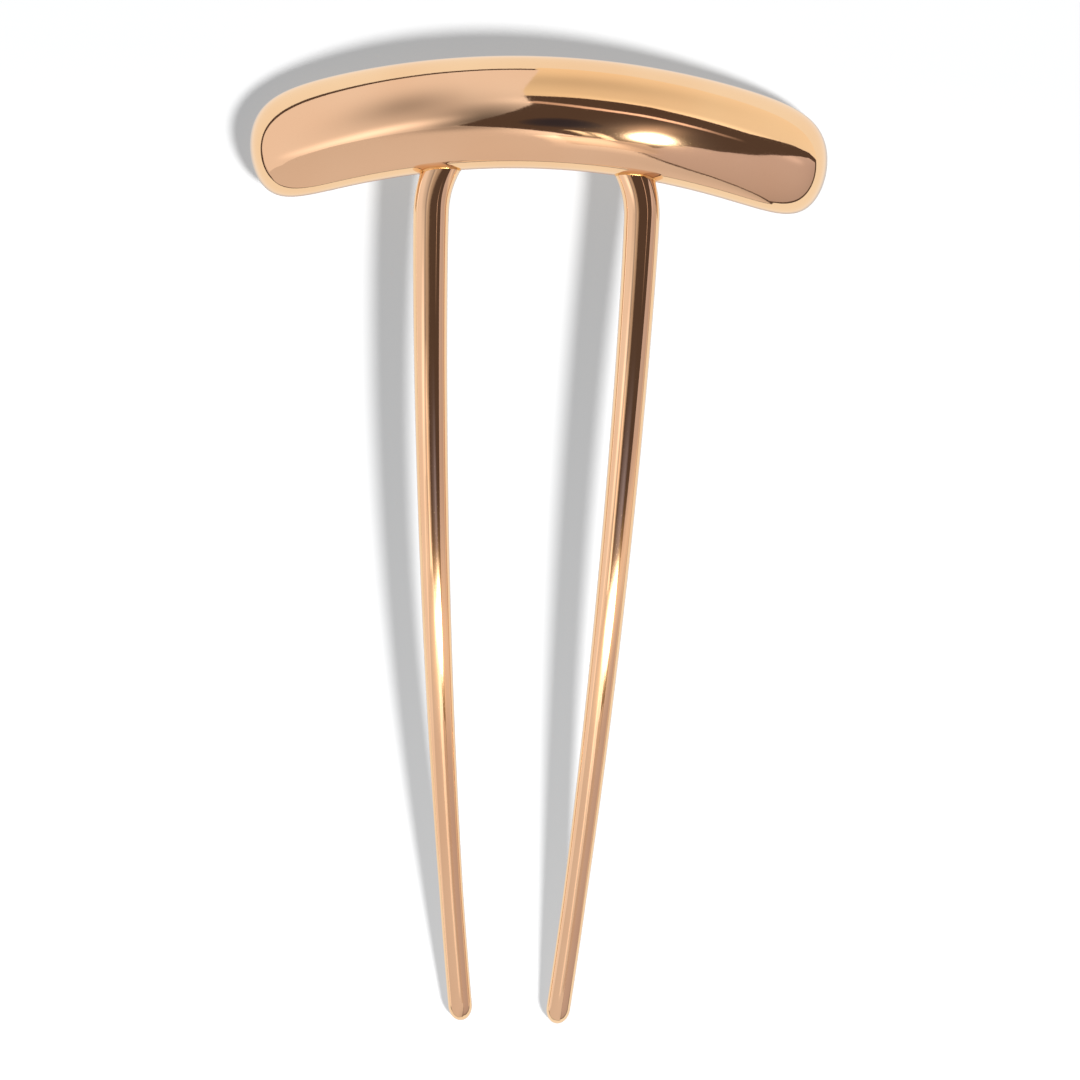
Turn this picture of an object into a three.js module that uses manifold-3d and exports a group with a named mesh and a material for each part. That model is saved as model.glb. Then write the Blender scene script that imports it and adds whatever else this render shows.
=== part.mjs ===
// Two-prong hair fork: a hollow domed head, struck as two brass shells, with one U-bent rod soldered into it.
// Millimetres. It lies dome up on a table: +X along the head, +Y from the prong tips to the head, +Z up.
import * as THREE from "three";
import { mergeVertices } from "three/addons/utils/BufferGeometryUtils.js";
import Module from "manifold-3d";

// Head, in plan and in section
const OVERALL_LENGTH = 110; // prong tips to the head's top edge
const HEAD_HALF_LENGTH = 33.5; // along the head's centre arc, from its middle to one end
const HEAD_WIDTH = 12.85; // across the centre arc
const HEAD_ARC_RADIUS = 93.5; // of the centre arc in plan
const HEAD_END_POWER = 14; // a larger power leaves squarer ends in plan
const HEAD_RISE_POWER = 40; // a larger power keeps the full height nearer the ends
const SECTION_TURN = 0.55; // how far the cross sections turn with the arc: 1 is square to it, 0 not at all
const DOME_HEIGHT = 4.8; // front shell, above the seam
const BACK_DEPTH = 2.8; // back shell, below the seam
const SHELL_WALL = 0.8;

// Fork, in plan and in section
const BOW_RADIUS = 11.93; // of the rod's centre line in the hidden bend
const BOW_CROWN_SETBACK = 6.07; // bow's centre line at its crown, from the head's top edge
const ROOT_WIDTH = 4.05; // prong, where it leaves the bow
const ROOT_THICKNESS = 3.65;
const TIP_WIDTH = 2.73; // prong, along its plain stretch
const TIP_THICKNESS = 2.5;
const ROD_SECTION_POWER = 3; // 2 gives an oval section, a larger power a squarer one with a flatter top
const PLAIN_TIP_LENGTH = 14.8; // the untapered stretch at the tip
const TIP_ROUND_LENGTH = 1.8;
const TIP_HALF_SPACING = 5.4; // centre line of a tip from the middle
const TIP_TOE_IN = 6.84; // degrees that a tip leans to the middle
const ROOT_CURVE_REACH = 6; // how far the prong keeps its heading below the bow
const TIP_CURVE_REACH = 43; // how far it keeps its heading above the tip

// The form that everything is bent over, like the back of a head of hair
const LENGTHWISE_RADIUS = 240; // along the prongs
const CROSSWISE_RADIUS = 88; // along the head

// Filler between the pieces
const SEAM_THICKNESS = 0.3; // rim solder
const SEAM_CLEARANCE = 0.08; // rim solder to each shell
const SEAM_INSET = 0.05; // rim solder inside the shells' outline
const FILLER_GAP = 0.12; // between a piece and the one that is cut round it
const BRAZE_LENGTH = 0.6; // along the prong, outside the head
const BRAZE_FLARE = 0.3; // how far it stands out from the prong at the head
const BRAZE_LIP = 0.12; // its thickness at its thin end
const TACK_RADIUS = 1.2;
const TACK_ANGLE = 25; // degrees along the bow from its crown
const TACK_STANDOFF = 0.4; // tack's centre from the rod's flank
const TACK_LIFT = 0.9; // tack's centre above the back shell's floor

// Details of the back shell
const VENT_DIAMETER = 1.2; // lets plating liquid out of the hollow head
const VENT_SPACING = 40; // along the head's centre arc
const PAD_LENGTH = 10; // flat blank land in the middle of the back
const PAD_WIDTH = 4.5;
const PAD_RISE = 0.15; // land's face below the floor at the land's ends
const PAD_ROOT = 0.2; // how far the land is rooted in the floor at the land's sides

// Fineness of the surfaces
const HEAD_STEPS = 40;
const SKIN_STEPS = 14;
const ROD_SIDES = 16;
const BOW_STEPS = 12;
const PRONG_STEPS = 26;
const TIP_STEPS = 4;
const BRAZE_STEPS = 6;
const ROUND_SIDES = 24;
const TACK_SIDES = 12;
const SAME_POINT = 1e-4; // points closer than this are one point
const SETTLED = 1e-6; // a length that is searched for is found to this

const GOLD = { color: 0xd8a674, roughness: 0.08, metalness: 1 };
const BRAZE = { color: 0xd98a3a, roughness: 0.15, metalness: 1 };
const RAW_SOLDER = { color: 0x9a8a6a, roughness: 0.45, metalness: 1 };

// Places worked out from the driving dimensions
const HEAD_TOP = OVERALL_LENGTH / 2;
const TIP_END = -OVERALL_LENGTH / 2;
const HEAD_CENTRE = HEAD_TOP - HEAD_WIDTH / 2;
const BOW_CENTRE = HEAD_TOP - BOW_CROWN_SETBACK - BOW_RADIUS;
const BOW_ARC = (BOW_RADIUS * Math.PI) / 2;
const RIM_HEIGHT = SEAM_THICKNESS / 2 + SEAM_CLEARANCE;

const wasm = await Module();
wasm.setup();

// A flat plan point on the head. along is measured on the centre arc, across outwards from it.
function headPoint(along, across) {
  const angle = along / HEAD_ARC_RADIUS;
  const turn = angle * SECTION_TURN;
  return new THREE.Vector2(
    HEAD_ARC_RADIUS * Math.sin(angle) + across * Math.sin(turn),
    HEAD_CENTRE - HEAD_ARC_RADIUS * (1 - Math.cos(angle)) + across * Math.cos(turn),
  );
}

// How much of the full width or height is left at a place along the head's half: 1 in the middle, 0 at its end.
function endTaper(place, power) {
  return Math.sqrt(Math.max(0, 1 - Math.abs(place) ** power));
}

// A closed mesh through rows of points, each row a loop. The first and last rows enclose nothing, or are
// joined to each other where isRing is set.
function throughRows(rows, isRing = false) {
  const width = rows[0].length;
  const joins = isRing ? rows.length : rows.length - 1;
  const corners = [];
  for (let i = 0; i < joins; i++) {
    const row = i * width;
    const nextRow = ((i + 1) % rows.length) * width;
    for (let j = 0; j < width; j++) {
      const k = (j + 1) % width;
      corners.push(row + j, nextRow + k, nextRow + j);
      corners.push(row + j, row + k, nextRow + k);
    }
  }
  const geometry = new THREE.BufferGeometry();
  geometry.setAttribute("position", new THREE.Float32BufferAttribute(rows.flat(2), 3));
  geometry.setIndex(corners);
  return geometry;
}

// The geometry as a solid: points in one place become one point, and faces that this collapses are dropped.
function solid(geometry) {
  const bare = geometry.clone();
  bare.deleteAttribute("normal");
  bare.deleteAttribute("uv");
  const merged = mergeVertices(bare, SAME_POINT);
  const corners = merged.index.array;
  const kept = [];
  for (let i = 0; i < corners.length; i += 3) {
    const [a, b, c] = corners.slice(i, i + 3);
    if (a !== b && b !== c && c !== a) {
      kept.push(a, b, c);
    }
  }
  const vertProperties = Float32Array.from(merged.attributes.position.array);
  return new wasm.Manifold(new wasm.Mesh({ numProp: 3, vertProperties, triVerts: Uint32Array.from(kept) }));
}

// Half of the head's skin, one row of points for each place along it, closer together towards the ends.
// inset shrinks the outline, base is the height of the skin's edge and rise its height over that edge.
function skinRows(inset, base, rise) {
  const rows = [];
  for (let i = 0; i <= HEAD_STEPS; i++) {
    const step = (2 * i) / HEAD_STEPS - 1;
    const place = step * (2 - Math.abs(step));
    const halfWidth = (HEAD_WIDTH / 2 - inset) * endTaper(place, HEAD_END_POWER);
    const height = rise * endTaper(place, HEAD_RISE_POWER);
    const row = [];
    for (let j = 0; j <= SKIN_STEPS; j++) {
      const angle = (Math.PI * j) / SKIN_STEPS;
      const plan = headPoint((HEAD_HALF_LENGTH - inset) * place, halfWidth * Math.cos(angle));
      row.push([plan.x, plan.y, base + height * Math.sin(angle)]);
    }
    rows.push(row);
  }
  return rows;
}

// Skin of one shell, drawn in by inset. side is 1 for the front shell and -1 for the back one.
function shellSkin(height, side, inset) {
  const base = side * RIM_HEIGHT;
  return skinRows(inset, base, side * (height - inset) - base);
}

// Centre line of the right prong, from the end of the bow down to the tip.
function prongLine() {
  const toeIn = Math.tan(THREE.MathUtils.degToRad(TIP_TOE_IN));
  return new THREE.CubicBezierCurve(
    new THREE.Vector2(BOW_RADIUS, BOW_CENTRE),
    new THREE.Vector2(BOW_RADIUS, BOW_CENTRE - ROOT_CURVE_REACH),
    new THREE.Vector2(TIP_HALF_SPACING + TIP_CURVE_REACH * toeIn, TIP_END + TIP_CURVE_REACH),
    new THREE.Vector2(TIP_HALF_SPACING, TIP_END),
  );
}
const PRONG = prongLine();
const PRONG_LENGTH = PRONG.getLength();

// Plan point and heading on the rod's right half, at a length from the crown of the bow.
function rodPlace(length) {
  if (length >= BOW_ARC) {
    const along = Math.min((length - BOW_ARC) / PRONG_LENGTH, 1);
    return { point: PRONG.getPointAt(along), heading: PRONG.getTangentAt(along) };
  }
  const angle = length / BOW_RADIUS;
  const radial = new THREE.Vector2(Math.sin(angle), Math.cos(angle));
  return {
    point: new THREE.Vector2(0, BOW_CENTRE).addScaledVector(radial, BOW_RADIUS),
    heading: new THREE.Vector2(radial.y, -radial.x),
  };
}

// Loop of points round the rod at a length from the crown, with its surface moved out by grow.
// side is 1 on the right half and -1 on the left one. The form's fall from the middle of the loop to each point is
// taken out beforehand, so that bending over the form doesn't skew the rod's section.
function rodLoop(length, grow, side) {
  const { point, heading } = rodPlace(length);
  const toTip = BOW_ARC + PRONG_LENGTH - length;
  const thicken = (toTip - PLAIN_TIP_LENGTH) / (PRONG_LENGTH - PLAIN_TIP_LENGTH);
  const taper = THREE.MathUtils.clamp(thicken, 0, 1);
  const rounding = THREE.MathUtils.clamp(1 - toTip / TIP_ROUND_LENGTH, 0, 1);
  const size = Math.sqrt(1 - rounding ** 2) / 2;
  const halfWidth = THREE.MathUtils.lerp(TIP_WIDTH, ROOT_WIDTH, taper) * size + grow;
  const halfThickness = THREE.MathUtils.lerp(TIP_THICKNESS, ROOT_THICKNESS, taper) * size + grow;
  const loop = [];
  for (let j = 0; j < ROD_SIDES; j++) {
    const angle = (2 * Math.PI * j) / ROD_SIDES;
    const cosine = Math.cos(angle);
    const sine = Math.sin(angle);
    const power = Math.abs(cosine) ** ROD_SECTION_POWER + Math.abs(sine) ** ROD_SECTION_POWER;
    const reach = power ** (-1 / ROD_SECTION_POWER);
    const out = halfWidth * reach * cosine;
    const x = point.x - out * heading.y;
    const y = point.y + out * heading.x;
    const fall = (x ** 2 - point.x ** 2) / (2 * CROSSWISE_RADIUS);
    loop.push([side * x, y, halfThickness * reach * sine + fall]);
  }
  return loop;
}

// Shrinks a loop to its middle, which closes the end of a run of loops.
function endPoint(loop) {
  const middle = [0, 1, 2].map((axis) => loop.reduce((sum, p) => sum + p[axis], 0) / loop.length);
  return loop.map(() => middle);
}

// Lengths from the crown at which the rod has a loop of points.
function rodLengths() {
  const lengths = [];
  for (let i = 0; i < BOW_STEPS; i++) {
    lengths.push((BOW_ARC * i) / BOW_STEPS);
  }
  const straight = PRONG_LENGTH - TIP_ROUND_LENGTH;
  for (let i = 0; i < PRONG_STEPS; i++) {
    lengths.push(BOW_ARC + (straight * i) / PRONG_STEPS);
  }
  for (let i = 0; i <= TIP_STEPS; i++) {
    lengths.push(BOW_ARC + straight + TIP_ROUND_LENGTH * Math.sin((Math.PI * i) / (2 * TIP_STEPS)));
  }
  return lengths;
}

// Height of the form over a plan point, measured from its highest point, which lies over y = apex.
function formHeight(x, y, apex) {
  return -((y - apex) ** 2) / (2 * LENGTHWISE_RADIUS) - x ** 2 / (2 * CROSSWISE_RADIUS);
}

// Where the form is highest along the prongs, so that the tips and the head's ends rest on one flat table.
function restingApex() {
  const headPoints = shellSkin(BACK_DEPTH, -1, 0).flat();
  const rodPoints = rodLengths().flatMap((length) => rodLoop(length, 0, 1));
  const lowest = (points, apex) => Math.min(...points.map(([x, y, z]) => z + formHeight(x, y, apex)));
  let near = TIP_END;
  let far = HEAD_TOP;
  while (far - near > SETTLED) {
    const apex = (near + far) / 2;
    if (lowest(rodPoints, apex) > lowest(headPoints, apex)) {
      near = apex;
    } else {
      far = apex;
    }
  }
  return near;
}
const FORM_APEX = restingApex();

// A flat geometry laid over the form as a solid: each of its points is lifted by the form's height there.
function bentSolid(geometry) {
  const position = geometry.getAttribute("position");
  for (let i = 0; i < position.count; i++) {
    position.setZ(i, position.getZ(i) + formHeight(position.getX(i), position.getY(i), FORM_APEX));
  }
  return solid(geometry);
}

// One hollow half of the head: outer skin, inner skin and a flat rim.
function shell(height, side) {
  const outer = shellSkin(height, side, 0);
  const inner = shellSkin(height, side, SHELL_WALL);
  const rows = outer.map((row, i) => [...row, ...inner[i].reverse()]);
  return bentSolid(throughRows(side > 0 ? rows : rows.reverse()));
}

// A solid lens with the head's outline, used for cutting. inset shrinks it all round.
function headLens(inset) {
  const upper = skinRows(inset, 0, DOME_HEIGHT - inset);
  const lower = skinRows(inset, 0, inset - BACK_DEPTH);
  return bentSolid(throughRows(upper.map((row, i) => [...row, ...lower[i].reverse().slice(1, -1)])));
}

// The head's outline at one height, once round.
function headOutline(inset, height) {
  const rows = skinRows(inset, height, 0);
  const lowerEdge = rows.map((row) => row[SKIN_STEPS]);
  const upperEdge = rows.map((row) => row[0]);
  return [...lowerEdge, ...upperEdge.reverse().slice(1, -1)];
}

// Ring of solder between the two rims.
function rimRing() {
  const [under, over] = [-SEAM_THICKNESS / 2, SEAM_THICKNESS / 2];
  const edges = [
    headOutline(SEAM_INSET, over),
    headOutline(SEAM_INSET, under),
    headOutline(SHELL_WALL, under),
    headOutline(SHELL_WALL, over),
  ];
  const rows = edges[0].map((_, i) => edges.map((edge) => edge[i]));
  return bentSolid(throughRows(rows, true));
}

// The rod from the left tip over the crown to the right tip, its surface moved out by grow.
function rod(grow) {
  const lengths = rodLengths();
  const right = lengths.map((length) => rodLoop(length, grow, 1));
  const left = lengths.slice(1).map((length) => rodLoop(length, grow, -1));
  const loops = [...left.reverse(), ...right];
  return bentSolid(throughRows([endPoint(loops[0]), ...loops, endPoint(loops.at(-1))]));
}

// Length from the crown at which the rod's centre line leaves the head's outline.
function exitLength() {
  const inside = (length) => {
    const { point } = rodPlace(length);
    const along = HEAD_ARC_RADIUS * Math.asin(point.x / HEAD_ARC_RADIUS);
    return point.y > headPoint(along, -HEAD_WIDTH / 2).y;
  };
  let near = 0;
  let far = BOW_ARC + PRONG_LENGTH;
  while (far - near > SETTLED) {
    const middle = (near + far) / 2;
    if (inside(middle)) {
      near = middle;
    } else {
      far = middle;
    }
  }
  return near;
}
const EXIT = exitLength();

// Collar of braze round a prong, before the head and the prong are cut from it: as wide inside the head as at
// its edge, then narrowing in a hollow curve to a thin lip.
function brazeBlank(side) {
  const loops = [];
  for (let i = 0; i <= BRAZE_STEPS; i++) {
    const share = i / BRAZE_STEPS;
    const grow = FILLER_GAP + BRAZE_LIP + (BRAZE_FLARE - BRAZE_LIP) * (1 - share) ** 2;
    loops.push(rodLoop(EXIT + BRAZE_LENGTH * share, grow, side));
  }
  loops.unshift(rodLoop(EXIT - HEAD_WIDTH / 4, FILLER_GAP + BRAZE_FLARE, side));
  if (side < 0) {
    loops.reverse();
  }
  return bentSolid(throughRows([endPoint(loops[0]), ...loops, endPoint(loops.at(-1))]));
}

// Ball of solder in the corner between the bow's inner flank and the back shell's floor.
function tackBlank(side) {
  const { point, heading } = rodPlace(BOW_RADIUS * THREE.MathUtils.degToRad(TACK_ANGLE));
  const inward = ROOT_WIDTH / 2 + TACK_STANDOFF;
  const ball = new THREE.SphereGeometry(TACK_RADIUS, TACK_SIDES, TACK_SIDES / 2);
  const height = TACK_LIFT + SHELL_WALL - BACK_DEPTH;
  ball.translate(side * (point.x + inward * heading.y), point.y - inward * heading.x, height);
  return bentSolid(ball);
}

// Drill for a vent hole through the back shell's floor.
function ventDrill(side) {
  const place = headPoint((side * VENT_SPACING) / 2, 0);
  const drill = new THREE.CylinderGeometry(VENT_DIAMETER / 2, VENT_DIAMETER / 2, 2 * BACK_DEPTH, ROUND_SIDES);
  drill.rotateX(Math.PI / 2);
  drill.translate(place.x, place.y, -BACK_DEPTH);
  return bentSolid(drill);
}

// Flat oval land on the back, made in place on the bent shell and square to the form in the head's middle.
function pad() {
  const slope = Math.atan((HEAD_CENTRE - FORM_APEX) / LENGTHWISE_RADIUS);
  const sag = (PAD_LENGTH / 2) ** 2 / (2 * CROSSWISE_RADIUS);
  const sideRise = BACK_DEPTH * (1 - Math.sqrt(1 - (PAD_WIDTH / HEAD_WIDTH) ** 2));
  const oval = new THREE.Shape().absellipse(0, 0, PAD_LENGTH / 2, PAD_WIDTH / 2, 0, 2 * Math.PI);
  const depth = PAD_RISE + sag + sideRise + PAD_ROOT;
  const land = new THREE.ExtrudeGeometry(oval, { depth, bevelEnabled: false, curveSegments: ROUND_SIDES });
  land.translate(0, 0, -(BACK_DEPTH + PAD_RISE + sag));
  land.rotateX(-slope);
  land.translate(0, HEAD_CENTRE, formHeight(0, HEAD_CENTRE, FORM_APEX));
  return solid(land);
}

// A box round the stretch of rim that lies between the two prongs.
function betweenProngs() {
  const { point } = rodPlace(EXIT);
  const box = new THREE.BoxGeometry(2 * point.x, HEAD_WIDTH, HEAD_WIDTH);
  return bentSolid(box.translate(0, point.y, 0));
}

const pieces = new THREE.Group();
function addPiece(name, finish, body) {
  const mesh = body.getMesh();
  const geometry = new THREE.BufferGeometry();
  geometry.setAttribute("position", new THREE.Float32BufferAttribute(mesh.vertProperties, 3));
  geometry.setIndex(Array.from(mesh.triVerts));
  const piece = new THREE.Mesh(geometry, new THREE.MeshStandardMaterial(finish));
  piece.name = name;
  pieces.add(piece);
}

const rodRoom = rod(FILLER_GAP);
const headRoom = headLens(-FILLER_GAP);
const hollow = headLens(SHELL_WALL + FILLER_GAP);
const ring = rimRing().subtract(rodRoom);
const back = shell(BACK_DEPTH, -1).subtract(rodRoom).subtract(ventDrill(1)).subtract(ventDrill(-1));

addPiece("front_shell", GOLD, shell(DOME_HEIGHT, 1).subtract(rodRoom));
addPiece("back_shell", GOLD, back.add(pad()));
addPiece("fork", GOLD, rod(0));
addPiece("rim_solder_long", BRAZE, ring.subtract(betweenProngs()));
addPiece("rim_solder_short", BRAZE, ring.intersect(betweenProngs()));
for (const [name, side] of [["left", -1], ["right", 1]]) {
  addPiece(`root_braze_${name}`, BRAZE, brazeBlank(side).subtract(headRoom).subtract(rodRoom));
  addPiece(`bow_tack_${name}`, RAW_SOLDER, tackBlank(side).intersect(hollow).subtract(rodRoom));
}

// The pieces are set down so that the lowest point touches the table at z = 0.
pieces.position.z = -new THREE.Box3().setFromObject(pieces).min.z;
const hairFork = new THREE.Group();
hairFork.add(pieces);

export default hairFork;
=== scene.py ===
"""Looks of a polished gold hair fork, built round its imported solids.

The file is laid out as an add-on and is run as a script. It dresses the fork's pieces and shows them on a
white table in a small light tent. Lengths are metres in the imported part's frame: +X along the head, +Y from
the prong tips to the head's top edge, +Z up from the table.
"""

import math

import bmesh
import bpy
import numpy as np
from bpy.props import FloatProperty, FloatVectorProperty, PointerProperty
from mathutils import Matrix, Vector


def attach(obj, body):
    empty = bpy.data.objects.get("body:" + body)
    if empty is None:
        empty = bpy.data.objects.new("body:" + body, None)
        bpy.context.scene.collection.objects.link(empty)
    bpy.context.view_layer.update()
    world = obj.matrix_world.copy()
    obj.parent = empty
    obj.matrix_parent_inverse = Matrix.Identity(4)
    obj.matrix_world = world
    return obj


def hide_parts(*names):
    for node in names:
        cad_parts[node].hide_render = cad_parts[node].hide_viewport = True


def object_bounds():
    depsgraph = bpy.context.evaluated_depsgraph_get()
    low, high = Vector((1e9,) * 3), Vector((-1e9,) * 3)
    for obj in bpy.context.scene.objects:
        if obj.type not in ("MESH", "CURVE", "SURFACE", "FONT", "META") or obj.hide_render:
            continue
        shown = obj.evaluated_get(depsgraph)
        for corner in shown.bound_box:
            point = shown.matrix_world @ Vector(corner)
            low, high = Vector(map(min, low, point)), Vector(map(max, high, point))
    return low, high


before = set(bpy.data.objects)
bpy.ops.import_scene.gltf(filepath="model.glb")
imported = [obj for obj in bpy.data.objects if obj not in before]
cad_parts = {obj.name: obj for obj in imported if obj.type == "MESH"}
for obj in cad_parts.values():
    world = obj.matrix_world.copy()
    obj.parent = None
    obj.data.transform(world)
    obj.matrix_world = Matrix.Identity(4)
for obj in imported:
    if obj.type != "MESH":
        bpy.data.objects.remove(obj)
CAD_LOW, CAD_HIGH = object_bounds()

bl_info = {
    "name": "Gold Hair Fork",
    "version": (1, 0, 0),
    "blender": (4, 5, 0),
    "location": "View3D > Sidebar > Hair Fork",
    "description": "Builds the polished pieces of a two-prong hair fork and the light tent it is shown in",
    "category": "Add Mesh",
}

BODY = "root"
MILLIMETRE = 0.001
SAME_POINT = 1e-7
SHARP_EDGE = math.radians(32)
SEARCH_STEPS = 48  # halvings, which find a length far finer than it shows
PLACE_ROUNDS = 8  # rounds that settle a place on the head
FACET_ALLOWANCE = 1e-5  # how far the smooth tips are held back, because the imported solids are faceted
CLEAR_OF_TABLE = 2e-6  # keeps the finer surfaces above the table
SLOPE_STEP = 1e-5  # to either side of a place where the form's slope is measured
RIM_OVERLAP = 1.02  # the rim solder's height against the seam's, so that it bites into both rims

# How fine the meshes are. A grid has its steps along the shape first, then those across or around it.
SHELL_GRID = (361, 97)
FORK_GRID = (320, 64)
NOTCH_GRID = (200, 48)
BRAZE_GRID = (25, 120)
LAND_GRID = (12, 128)
RIM_GRID = (260, 9)  # the first on each half of an edge
VENT_SIDES = 64
ROUND_STEPS = 9  # on a quarter circle that rounds an edge
RESTING_SHELL_GRID = (161, 33)
RESTING_ROD_GRID = (120, 33)
BOW_POINTS = 400  # on the rod's centre line
PRONG_POINTS = 4000
PRONG_TO_BOW_STEPS = 5  # a prong has this many times the steps of half the bow
PRONG_TO_TIP_STEPS = 12  # and this many times those of its rounded tip


def to_linear(hex_colour):
    """Linear RGB of an sRGB hex colour such as "d8a674"."""
    shares = np.array([int(hex_colour[i : i + 2], 16) for i in (0, 2, 4)]) / 255
    linear = np.where(shares <= 0.04045, shares / 12.92, ((shares + 0.055) / 1.055) ** 2.4)
    return tuple(float(share) for share in linear)


def length(name, description, millimetres):
    """A length that the user can change, given in millimetres."""
    return FloatProperty(
        name=name,
        description=description,
        default=millimetres * MILLIMETRE,
        min=0.0,
        precision=5,
        subtype="DISTANCE",
        unit="LENGTH",
    )


def position(name, description, metres):
    """A place along the fork that the user can change, given in metres."""
    return FloatProperty(
        name=name,
        description=description,
        default=metres,
        precision=5,
        subtype="DISTANCE",
        unit="LENGTH",
    )


def number(name, description, default):
    """A plain number that the user can change."""
    return FloatProperty(name=name, description=description, default=default, precision=3)


def degrees(name, description, default):
    """An angle that the user can change, given in degrees."""
    return FloatProperty(
        name=name,
        description=description,
        default=math.radians(default),
        subtype="ANGLE",
        unit="ROTATION",
    )


def colour(name, description, hex_colour):
    """A colour that the user can change, given as an sRGB hex value."""
    return FloatVectorProperty(
        name=name,
        description=description,
        default=to_linear(hex_colour),
        subtype="COLOR",
        min=0.0,
        max=1.0,
    )


class HairForkHead(bpy.types.PropertyGroup):
    """Sizes of the hollow head."""

    top: position("Top edge", "Place of the head's top edge along the fork", CAD_HIGH.y)
    half_length: length("Half length", "Along the head's centre arc, from its middle to one end", 33.48)
    width: length("Width", "Across the centre arc", 12.85)
    arc_radius: length("Arc radius", "Radius of the centre arc in plan", 93.5)
    end_power: number("End power", "A larger power leaves squarer ends in plan", 14.0)
    rise_power: number("Rise power", "A larger power keeps the full height nearer the ends", 40.0)
    section_turn: number("Section turn", "How far cross sections turn with the arc, from 0 to 1", 0.55)
    dome_height: length("Dome height", "Front shell above the seam", 4.77)
    back_depth: length("Back depth", "Back shell below the seam", 2.8)
    wall: length("Wall", "Thickness of both shells", 0.8)
    seam: length("Seam", "Distance between the rims of the two shells", 0.46)
    vent: length("Vent", "Diameter of the vent holes in the back", 1.2)
    vent_flare: length("Vent flare", "How far a vent's worn mouth opens out", 0.15)
    vent_spacing: length("Vent spacing", "Between the vent holes, along the centre arc", 40.0)
    land_length: length("Land length", "Flat blank land on the back, along the head", 10.0)
    land_width: length("Land width", "Flat blank land on the back, across the head", 4.5)
    land_rise: length("Land rise", "Face of the land below the back at the land's ends", 0.15)
    land_edge: length("Land edge", "Radius of the land's rounded edge", 0.14)


class HairForkRod(bpy.types.PropertyGroup):
    """Sizes of the U-bent rod whose two ends are the prongs."""

    tip: position("Tips", "Place of the prong tips along the fork", CAD_LOW.y + FACET_ALLOWANCE)
    bow_radius: length("Bow radius", "Centre line of the hidden bend", 11.93)
    crown_setback: length("Crown setback", "Bow's centre line at its crown, from the head's top edge", 6.07)
    root_width: length("Root width", "Prong where it leaves the bow", 4.05)
    root_thickness: length("Root thickness", "Prong where it leaves the bow", 3.65)
    tip_width: length("Tip width", "Prong along its plain stretch", 2.73)
    tip_thickness: length("Tip thickness", "Prong along its plain stretch", 2.5)
    section_power: number("Section power", "2 gives an oval section, a larger power a squarer one", 3.0)
    plain_length: length("Plain length", "Untapered stretch at the tip", 14.8)
    round_length: length("Round length", "Rounded end of the tip", 1.8)
    tip_half_spacing: length("Half spacing", "Centre line of a tip from the middle", 5.4)
    toe_in: degrees("Toe-in", "How far a tip leans to the middle", 6.84)
    root_reach: length("Root reach", "How far a prong keeps its heading below the bow", 6.0)
    tip_reach: length("Tip reach", "How far a prong keeps its heading above the tip", 43.0)
    lengthwise_radius: length("Lengthwise bend", "Bend of head and prongs along the prongs", 240.0)
    crosswise_radius: length("Crosswise bend", "Bend of the head along its length", 88.0)


class HairForkFiller(bpy.types.PropertyGroup):
    """Sizes of the solder and braze between the pieces."""

    groove: length("Groove", "Depth of the rim solder inside the shells' outline, in mid-seam", 0.07)
    flush: length("Flush", "Depth of the rim solder inside the shells' outline, at the rims", 0.02)
    braze_length: length("Braze length", "Along a prong, outside the head", 0.5)
    braze_flare: length("Braze flare", "How far the braze stands out from a prong at the head", 0.12)
    braze_dip: length("Braze dip", "How deep the braze's thin edge dips into the prong", 0.012)
    clearance: length("Clearance", "Between a prong and the notch that the head is cut to", 0.12)


class HairForkFinish(bpy.types.PropertyGroup):
    """Colours of the metal."""

    gold: colour("Gold", "Gold plating where it is thickest", "f2cca1")
    gold_worn: colour("Gold, thinner", "Gold plating where polishing has thinned it", "efc69a")
    braze: colour("Braze", "Plated brazing filler", "ecb878")
    braze_deep: colour("Braze, deep", "Plated brazing filler in the hollow of the joint", "d8974f")
    solder: colour("Solder", "Unpolished solder inside the head", "9a8a6a")
    solder_dark: colour("Solder, flux-stained", "Unpolished solder under its flux stain", "5f5340")


class HairForkStage(bpy.types.PropertyGroup):
    """Camera, table and light."""

    turn: degrees("Turn", "How far the fork lies turned in the picture, clockwise", 1.98)
    picture: length("Picture width", "What the picture takes in, at the head's seam", 122.3)
    middle_right: length("Middle right", "Middle of the picture to the right of the fork's origin", 1.68)
    middle_up: length("Middle up", "Middle of the picture above the fork's origin", 0.14)
    distance: length("Distance", "Camera above the head's seam", 800.0)
    seam_level: length("Seam level", "Height at which the picture width holds", 8.0)
    table: colour("Table", "Pale table, which the key light makes white", "7c7c7c")
    # The table's glow and its tint are painted light: they lighten its shadows, more beside the tips than
    # beside the head.
    table_tint: colour("Table tint", "Table's glow, cool against the gold's warm bounce", "f6f9fb")
    table_glow: number("Table glow", "Light of the table in its shadows, beside the head", 0.425)
    table_glow_tips: number("Table glow, tips", "Light of the table in its shadows, beside the tips", 0.58)
    table_mirrored: number("Mirrored table", "Brightness of the table in the metal", 1.03)
    table_under: number("Table under the fork", "Share of that left straight below, in the shadow", 0.5)
    key: number("Key light", "Light that casts the shadow", 11.0)
    key_right: number("Key right", "Shadow's shift to the left, as a share of height", 0.5)
    key_down: number("Key down", "Shadow's shift upwards in the picture, as a share of height", 0.46)
    key_softness: degrees("Key softness", "Width of the key light, as seen from the table", 10.5)
    room: colour("Room", "Dark room seen through the tent's openings", "594c49")
    film: colour("Film", "What a smoked film in front of the dark room lets through", "a8bcec")
    lamp: number("Lamp", "Brightness of the bare lamp that the metal mirrors", 22.0)


class HairForkSettings(bpy.types.PropertyGroup):
    """Everything that can be changed."""

    head: PointerProperty(type=HairForkHead)
    rod: PointerProperty(type=HairForkRod)
    filler: PointerProperty(type=HairForkFiller)
    finish: PointerProperty(type=HairForkFinish)
    stage: PointerProperty(type=HairForkStage)


# Shape of the head


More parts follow.
